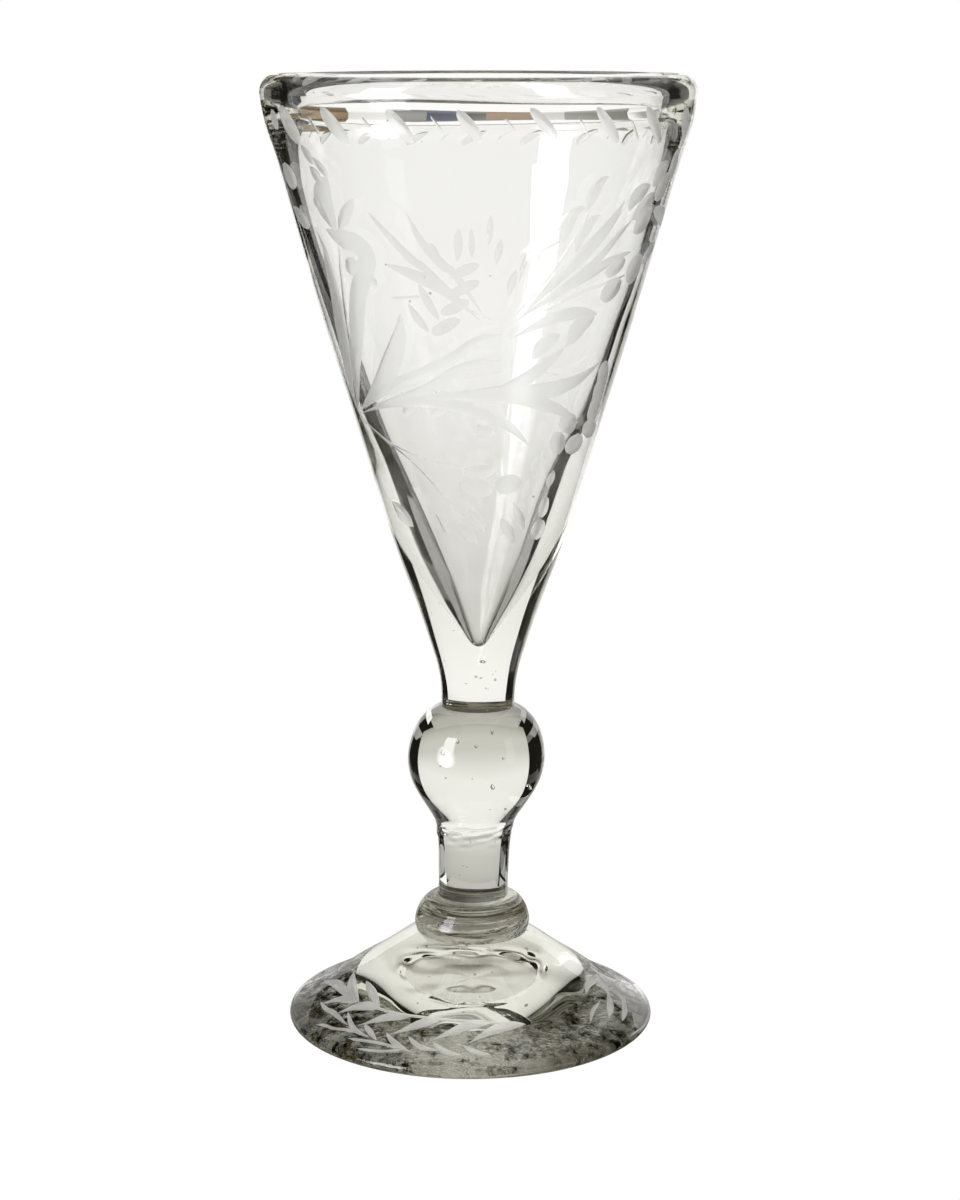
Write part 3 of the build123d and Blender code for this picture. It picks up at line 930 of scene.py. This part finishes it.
def tooling(th, z):
    """Fine rings left by the tool that pinched the button, sagging a little round the piece."""
    zz = z + 0.45 * waves(th, z, 78, 10, 3, 30.0)
    up = np.clip((z - 29.6) / 1.0, 0, 1)
    top = np.clip((z - 30.0) / 1.5, 0, 1)
    return (0.03 * np.sin(2 * math.pi * zz / 2.3) * up + 0.03 * np.sin(2 * math.pi * zz / 1.2) * top) * fade(z, Z_FM + 0.4, Z_MS - 0.4, 1.2)


merese = turned_piece(
    "merese_visual", merese_side, Z_FM, Z_MS, 0.05, 5, 9.0, seeds_in(Z_FM, Z_MS, radius_of(merese_side), 5, 3),
    extra=tooling, n=110,
)
stem = turned_piece(
    "stem_visual", stem_side, Z_MS, Z_SK, 0.07, 6, 12.0, seeds_in(Z_MS, Z_SK, radius_of(stem_side), 7, 4),
    extra=lambda th, z: wrinkle(th, z), n=80,
)
knop = turned_piece(
    "knop_visual", knop_side, Z_SK, Z_KB, 0.10, 7, 16.0,
    seeds_in(Z_SK, Z_KB, radius_of(knop_side), 22, 8, big=[(-7.2, -9.5, 75.3, 0.62, 1.1), (4.2, -10.0, 67.6, 0.55, 1.25), (0.5, -3.0, 75.0, 0.34, 1.0)]),
    extra=lambda th, z: wrinkle(th, z), n=110,
)

# ------------------------------------------------------------------ bowl
bowl_skin = Profile([(bowl_outer, 1400)])
foot_skin = Profile([(foot_top, 900)])


def skin_point(profile, swell_by, roll=0.0):
    t = np.gradient(profile.p, axis=0)
    t /= np.linalg.norm(t, axis=1)[:, None]

    def point(theta, w, depth):
        r, z = profile.rz_w(w)
        nr, nz = np.interp(w, profile.w, t[:, 1]), -np.interp(w, profile.w, t[:, 0])
        rr = r + swell_by(theta, z)
        return place(rr - depth * nr, theta, z - depth * nz, roll)

    return point


def add_patch(body, patch):
    ids = body.add(patch["xyz"], patch["nor"])
    v, n = patch["xyz"], patch["nor"]
    t = np.array(patch["tri"])
    back = (np.cross(v[t[:, 1]] - v[t[:, 0]], v[t[:, 2]] - v[t[:, 0]]) * n[t[:, 0]]).sum(1) < 0
    t[back] = t[back][:, ::-1]
    body.f += [tuple(f) for f in (t + ids[0]).tolist()]
    body.kind += patch["cut"]
    return [ids[i] for i in patch["low"]], [ids[i] for i in patch["high"]]


def bowl_out(th, z):
    return 0.13 * waves(th, z, 11, 16, 5, 48.0) * fade(z, Z_KB, 245.0, 14.0)


def bowl_in(th, z):
    return 0.12 * waves(th, z, 12, 16, 5, 42.0) * fade(z, 106.0, 246.0, 12.0)


rim_back = []
for i in range(5, 16):
    a = 16.4 + 18.3 * (i - 1)
    rim_back.append(("oval", 1.6, 1.6, [(a - 4.0, 242.9), (a + 3.6, 234.8)]))
    rim_back.append(("line", 0.34, 0.34, [(a - 11.0, 241.2), (a - 7.6, 236.6)]))
bowl_cuts = CUT_RIM + rim_back + CUT_SPRIG + CUT_SPRAY + CUT_FAN + CUT_BUDS + CUT_REAR
patch = engraved(skin_point(bowl_skin, bowl_out), bowl_skin, bowl_cuts, SEG, 188, math.radians(101.9), faint=[c for c in bowl_cuts if c in CUT_REAR or c in rim_back or c[0] == "line"])
b = Body()
low, high = add_patch(b, patch)
th = patch["theta"]
joint(b, low, R_KB, Z_KB + GAP, th, low=True)
_, e = rings(b, samples(bowl_lip, 36), th, first=high)
_, e = rings(b, samples(bowl_inner, 120), th, first=e, kind="inner", swell_by=bowl_in)
_, e = rings(b, samples(bowl_tip, 16), th, first=e, kind="inner")
b.fan(e)
g = np.random.default_rng(21)
inner_pts = samples(bowl_inner, 200)[::-1]
for _ in range(70):
    z = g.uniform(108, 238)
    ro = float(np.interp(z, bowl_skin.p[:, 1], bowl_skin.p[:, 0]))
    ri = float(np.interp(z, inner_pts[:, 1], inner_pts[:, 0]))
    rad = float(np.exp(g.normal(-1.95, 0.35)))
    r = ri + (ro - ri) * g.uniform(0.3, 0.7)
    a = g.uniform(0, 2 * math.pi)
    b.seed((r * math.sin(a) + float(lean(z)), -r * math.cos(a), z), rad, rng, g.uniform(0.9, 1.3))
for c, r, k in seeds_in(Z_KB, 101.0, radius_of(bowl_outer), 10, 22):
    b.seed(c, r, rng, k)
bowl = b.build("bowl_visual")

# ------------------------------------------------------------------ foot
ROLL = 0.009


def foot_out(th, z):
    return 0.14 * waves(th, z * 2.0, 13, 16, 7, 30.0) * fade(z, 2.7, Z_FM, 3.0)


def foot_low(th, r):
    """Unevenness of the hollow underside, as a height."""
    a = np.clip((43.6 - r) / 6.0, 0, 1) * np.clip(r / 6.0, 0, 1)
    return 0.10 * a * waves(th, r * 1.6, 14, 20, 8, 26.0)


# three sprigs round the foot, end to end
chain_cuts = [c for c in CUT_LAUREL if c[3][0][0] < 40]
second = [c for c in chain_cuts if min(t for t, z in c[3]) > -58 and max(t for t, z in c[3]) < -4]
patch = engraved(
    skin_point(foot_skin, foot_out, ROLL), foot_skin, CUT_LAUREL + turned(second, 150) + turned(chain_cuts, 240),
    SEG, 40, math.radians(38.0),
)
b = Body()
low, high = add_patch(b, patch)
th = patch["theta"]
joint(b, high, R_FM, Z_FM, th, roll=0.0)
kick = samples(foot_kick, 64)
under = chain(
    samples(foot_pontil, 14)[::-1], kick[::-1], flat(43.6, REST_R, 0.0, 5), foot_edge(np.linspace(0, 1, 16))[::-1],
)
prev = None
for k, (r, z) in enumerate(under[:-1]):
    zz = np.full(SEG, z)
    if r < 43.6:
        zz = zz + foot_low(th, np.full(SEG, r))
        if r < 20.0:
            # the ground pontil mark: its ragged edge, chipped mostly on the far side
            chips = 0.12 + 0.88 * np.clip(0.15 - 1.1 * np.cos(th), 0, 1)
            scar = np.exp(-((r - 14.4) / 1.5) ** 2) * chips * (0.55 * waves(th, np.full(SEG, r * 3.0), 31, 20, 12, 7.0) - 0.06)
            zz = zz + scar
    cur = b.add(place(np.full(SEG, r), th, zz, ROLL))
    if prev is None:
        b.fan(cur, "plain", flip=True)
    else:
        b.band(prev, cur, "worn" if 27.0 < r < 47.0 else "faint" if r < 14.0 else "plain")
    prev = cur
b.band(prev, low)
for c, r, k in seeds_in(6.0, Z_FM, radius_of(foot_top), 26, 33):
    b.seed(c, r, rng, k)
foot = b.build("foot_visual")

glass = {}
for name, absorb, n in (
    ("bowl", (0.89, 0.887, 0.845), 1), ("knop", (0.89, 0.887, 0.85), 2), ("stem", (0.89, 0.887, 0.85), 3),
    ("merese", (0.89, 0.886, 0.845), 4), ("foot", (0.90, 0.897, 0.86), 5),
):
    glass[name] = glass_material(name + "_glass", absorb, 50.0, n, worn=name == "foot", dark_streak_heights=(0.0284, 0.0306) if name == "merese" else None)

for ob, node in ((bowl, "bowl"), (knop, "knop"), (stem, "stem"), (merese, "merese"), (foot, "foot")):
    ob.data.materials.append(glass[node])
    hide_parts(node)
    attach(ob, "root")

# ------------------------------------------------------------------ camera
cam_data = bpy.data.cameras.new("camera")
cam = bpy.data.objects.new("camera", cam_data)
bpy.context.scene.collection.objects.link(cam)
bpy.context.scene.camera = cam
cam_data.sensor_width = 36.0
cam_data.lens = 80.67
cam.location = (0.00148, -0.69056, 0.26203)
cam.rotation_euler = (math.radians(90 - 12.07), 0, 0)
cam_data.clip_start, cam_data.clip_end = 0.01, 50

# ------------------------------------------------------------------ stage
scene = bpy.context.scene
scene.view_settings.view_transform = "Standard"
scene.cycles.max_bounces = 32
scene.cycles.transmission_bounces = 32
scene.cycles.glossy_bounces = 24
scene.cycles.transparent_max_bounces = 32

world = bpy.data.worlds.new("studio")
scene.world = world
world.use_nodes = True
wn = world.node_tree
wn.nodes.clear()
wout = wn.nodes.new("ShaderNodeOutputWorld")
wmix = wn.nodes.new("ShaderNodeMixShader")
wlp = wn.nodes.new("ShaderNodeLightPath")
wdim = wn.nodes.new("ShaderNodeBackground")
wdim.inputs["Color"].default_value = (0.011, 0.0105, 0.008, 1)
wdim.inputs["Strength"].default_value = 1.0
wwhite = wn.nodes.new("ShaderNodeBackground")
wwhite.inputs["Color"].default_value = (1, 1, 1, 1)
wn.links.new(wlp.outputs["Is Camera Ray"], wmix.inputs[0])
wn.links.new(wdim.outputs[0], wmix.inputs[1])
wn.links.new(wwhite.outputs[0], wmix.inputs[2])
wn.links.new(wmix.outputs[0], wout.inputs[0])

# the lights keep facing the camera, as when a photographer turns the glass and leaves the lights alone
rig = bpy.data.objects.new("studio_rig", None)
bpy.context.scene.collection.objects.link(rig)
turn = rig.constraints.new("COPY_ROTATION")
turn.target = cam
turn.use_x = turn.use_y = False
turn.use_z = True


def emitter(name, ramp, axis="Z"):
    """An even light, graded along one axis of the card: ramp is [(metres, (r, g, b)), ...]."""
    mat = bpy.data.materials.new(name)
    mat.use_nodes = True
    nt = mat.node_tree
    nt.nodes.clear()
    out = nt.nodes.new("ShaderNodeOutputMaterial")
    em = nt.nodes.new("ShaderNodeEmission")
    em.inputs["Color"].default_value = (*ramp[0][1], 1)
    em.inputs["Strength"].default_value = 1.0
    if len(ramp) > 1:
        lo, hi = ramp[0][0], ramp[-1][0]
        top = max(max(c) for _, c in ramp)
        em.inputs["Strength"].default_value = top
        tc = nt.nodes.new("ShaderNodeTexCoord")
        if axis == "R":
            sx = nt.nodes.new("ShaderNodeVectorMath")
            sx.operation = "LENGTH"
        else:
            sx = nt.nodes.new("ShaderNodeSeparateXYZ")
        mr = nt.nodes.new("ShaderNodeMapRange")
        cr = nt.nodes.new("ShaderNodeValToRGB")
        mr.inputs["From Min"].default_value = lo
        mr.inputs["From Max"].default_value = hi
        while len(cr.color_ramp.elements) < len(ramp):
            cr.color_ramp.elements.new(0.5)
        for e, (h, c) in zip(cr.color_ramp.elements, ramp):
            e.position = (h - lo) / (hi - lo)
            e.color = (c[0] / top, c[1] / top, c[2] / top, 1)
        nt.links.new(tc.outputs["Object"], sx.inputs[0])
        nt.links.new(sx.outputs["Value" if axis == "R" else axis], mr.inputs["Value"])
        nt.links.new(mr.outputs[0], cr.inputs[0])
        nt.links.new(cr.outputs[0], em.inputs["Color"])
    nt.links.new(em.outputs[0], out.inputs[0])
    return mat


def card(name, corners, ramp, axis="Z", camera=False, specular=True, diffuse=True):
    """A flat studio card: four corners in metres, going round."""
    me = bpy.data.meshes.new(name)
    me.from_pydata(corners, [], [(0, 1, 2, 3)])
    ob = bpy.data.objects.new(name, me)
    bpy.context.scene.collection.objects.link(ob)
    me.materials.append(emitter(name, ramp, axis))
    ob.parent = rig
    ob.visible_camera = camera
    ob.visible_diffuse = diffuse
    ob.visible_glossy = specular
    ob.visible_transmission = specular
    ob.visible_shadow = False
    return ob


def grey(v, warm=0.0):
    return (v, v * (1 - 0.012 * warm), v * (1 - 0.07 * warm))


def pool(name, x, y, z, radius, ramp):
    """A round patch of light lying flat, graded from its middle outwards."""
    me = bpy.data.meshes.new(name)
    me.from_pydata([(radius * math.cos(i * math.pi / 48), radius * math.sin(i * math.pi / 48), 0.0) for i in range(96)], [], [tuple(range(96))])
    ob = bpy.data.objects.new(name, me)
    bpy.context.scene.collection.objects.link(ob)
    me.materials.append(emitter(name, ramp, axis="R"))
    ob.parent = rig
    ob.location = (x, y, z)
    ob.visible_camera = False
    ob.visible_shadow = False


# a lit sheet close behind the glass, between dark sides; it hangs down to the table
SHEET_Y, SHEET_L, SHEET_R = 0.12, -0.082, 0.108
card(
    "sheet", [(SHEET_L, SHEET_Y, -0.01), (SHEET_R, SHEET_Y, -0.01), (SHEET_R, SHEET_Y, 0.264), (SHEET_L, SHEET_Y, 0.264)],
    [(-0.01, grey(0.44, 1.5)), (0.008, grey(0.64, 1.2)), (0.022, grey(0.76, 1)), (0.036, grey(0.77, 0.8)), (0.05, grey(0.97, 0.5)),
     (0.065, grey(1.10, 0.3)), (0.1, grey(1.11, 0.3)), (0.2, grey(1.07, 0.3)), (0.264, grey(1.10, 0.2))],
)
# the room over the top of the sheet, in streaks: (height, how much of its colour, how much pale)
ROOM_STREAKS = (
    ((0.264, 0.9, 0.10), (0.270, 0.5, 0.0), (0.2745, 1.3, 0.05), (0.277, 0.7, 0.0), (0.284, 1.0, 0.0), (0.2865, 0.6, 0.45), (0.290, 1.1, 0.10), (0.30, 0.6, 0.55)),
    ((0.264, 0.7, 0.35), (0.268, 1.0, 0.0), (0.2765, 0.55, 0.0), (0.279, 1.4, 0.12), (0.282, 0.6, 0.0), (0.290, 0.9, 0.05), (0.295, 0.5, 0.50), (0.30, 0.5, 0.60)),
    ((0.264, 1.0, 0.05), (0.271, 1.2, 0.15), (0.274, 0.5, 0.0), (0.281, 0.8, 0.0), (0.2835, 1.0, 0.30), (0.286, 0.6, 0.0), (0.293, 1.0, 0.15), (0.30, 0.6, 0.50)),
)
for k, (xa, xb, c) in enumerate((
    (-0.082, -0.046, (0.30, 0.22, 0.13)), (-0.046, -0.030, (1.1, 1.1, 1.05)), (-0.030, -0.016, (0.22, 0.22, 0.21)),
    (-0.016, -0.006, (0.20, 0.225, 0.29)), (-0.006, 0.004, (0.16, 0.15, 0.13)), (0.004, 0.022, (0.34, 0.25, 0.17)),
    (0.022, 0.030, (0.9, 0.88, 0.84)), (0.030, 0.056, (0.30, 0.30, 0.26)), (0.056, 0.108, (0.85, 0.84, 0.80)),
)):
    card("room_%d" % k, [(xa, SHEET_Y, 0.264), (xb, SHEET_Y, 0.264), (xb, SHEET_Y, 0.30), (xa, SHEET_Y, 0.30)],
         [(z, tuple(v * m + 0.9 * pale for v in c)) for z, m, pale in ROOM_STREAKS[k % 3]])
card("sheet_top", [(SHEET_L, SHEET_Y, 0.30), (SHEET_R, SHEET_Y, 0.30), (SHEET_R, SHEET_Y, 0.45), (SHEET_L, SHEET_Y, 0.45)], [(0, grey(1.1, 0.2))])
card(
    "roof", [(-0.14, SHEET_Y, 0.45), (0.17, SHEET_Y, 0.45), (0.17, -0.16, 0.45), (-0.14, -0.16, 0.45)],
    [(-0.16, grey(0.45)), (0.12, grey(0.6))], axis="Y",
)
# the table under the glass, with painted shade: dark in front of and under the glass, growing lighter towards the sheet
# behind
card(
    "table", [(-0.06, SHEET_Y, -0.0012), (0.06, SHEET_Y, -0.0012), (0.06, -0.30, -0.0012), (-0.06, -0.30, -0.0012)],
    [(-0.30, grey(0.06, 1)), (-0.06, grey(0.13, 1.5)), (0.045, grey(0.18, 1.5)), (0.065, grey(0.30, 1.5)), (0.09, grey(0.58, 1)), (0.12, grey(0.62, 1))],
    axis="Y",
)
# the table's lit stretches left and right, seen through the low walls of the bowl
card("table_far_0", [(-0.150, 0.02, -0.0012), (-0.105, 0.02, -0.0012), (-0.105, 0.125, -0.0012), (-0.150, 0.125, -0.0012)], [(0, grey(0.44, 0.5))])
card("table_far_1", [(-0.137, 0.125, -0.0012), (-0.105, 0.125, -0.0012), (-0.105, 0.21, -0.0012), (-0.137, 0.21, -0.0012)], [(0, grey(0.22, 0.5))])
card("table_far_2", [(0.105, 0.02, -0.0012), (0.165, 0.02, -0.0012), (0.165, 0.125, -0.0012), (0.105, 0.125, -0.0012)], [(0, grey(0.50, 0.5))])
# where the light passes the foot on either side
for side in (-1, 1):
    c = side * 0.054
    pool("table_near_%d" % (side + 1), side * 0.0475, 0.022, -0.0004, 0.021, [(0.0, grey(0.95, 0.3)), (0.010, grey(0.85, 0.4)), (0.016, grey(0.38, 0.8)), (0.021, grey(0.12, 1.5))])
    card("table_side_%d" % (side + 1), [(c, 0.075, -0.001), (c, -0.012, -0.001), (c, -0.012, 0.014), (c, 0.075, 0.014)], [(0, grey(0.55 if side < 0 else 1.3, 0.3))])
# two windows beside the camera, and a broad soft fill that only matt surfaces catch
card("window_left", [(-1.43, -0.73, 0.45), (-1.05, -1.21, 0.45), (-1.05, -1.21, 1.35), (-1.43, -0.73, 1.35)], [(0, (8.0, 8.0, 8.2))])
lamp = []
for i in range(48):
    a, b = 0.54 * math.cos(i * math.pi / 24), 0.40 * math.sin(i * math.pi / 24)
    lamp.append((a * 0.588, -a * 0.809, b))
me = bpy.data.meshes.new("lamp_left")
me.from_pydata(lamp, [], [tuple(range(48))])
lamp = bpy.data.objects.new("lamp_left", me)
bpy.context.scene.collection.objects.link(lamp)
me.materials.append(emitter("lamp_left", [(0.0, (11.0, 11.0, 11.4)), (0.26, (10.0, 10.0, 10.4)), (0.40, (5.0, 5.0, 5.3)), (0.54, (0.5, 0.5, 0.6))], axis="R"))
lamp.location = (-1.294, -0.940, 0.24)
lamp.parent = rig
lamp.visible_camera = lamp.visible_diffuse = lamp.visible_shadow = False
card("window_right", [(1.25, -0.95, 0.05), (1.45, -0.60, 0.05), (1.45, -0.60, 0.9), (1.25, -0.95, 0.9)], [(0, (1.0, 1.0, 1.0))])
card("fill", [(-1.2, -1.4, -0.2), (1.2, -1.4, -0.2), (1.2, -1.4, 1.8), (-1.2, -1.4, 1.8)], [(0, (4.2, 4.2, 4.1))], specular=False)

# what the foot stands on, as the glass sees it: painted shadow, dim under the foot, lighter part way out, and dark in a
# ring round the foot's edge
pool(
    "shadow_under_foot", 0, 0, -0.0006, 0.052,
    [(0.0, (0.36, 0.345, 0.30)), (0.010, (0.33, 0.315, 0.27)), (0.021, (0.42, 0.405, 0.355)), (0.029, (0.60, 0.585, 0.53)), (0.033, (0.58, 0.565, 0.51)), (0.039, (0.15, 0.138, 0.10)),
     (0.052, (0.09, 0.082, 0.058))],
)

# floor: pale, plain
me = bpy.data.meshes.new("floor")
me.from_pydata([(-3, -3, 0), (3, -3, 0), (3, 3, 0), (-3, 3, 0)], [], [(0, 1, 2, 3)])
floor = bpy.data.objects.new("floor", me)
bpy.context.scene.collection.objects.link(floor)
me.materials.append(emitter("floor", [(0, (1, 1, 1))]))
floor.visible_transmission = False
floor.visible_glossy = False
floor.visible_diffuse = False
floor.visible_shadow = False
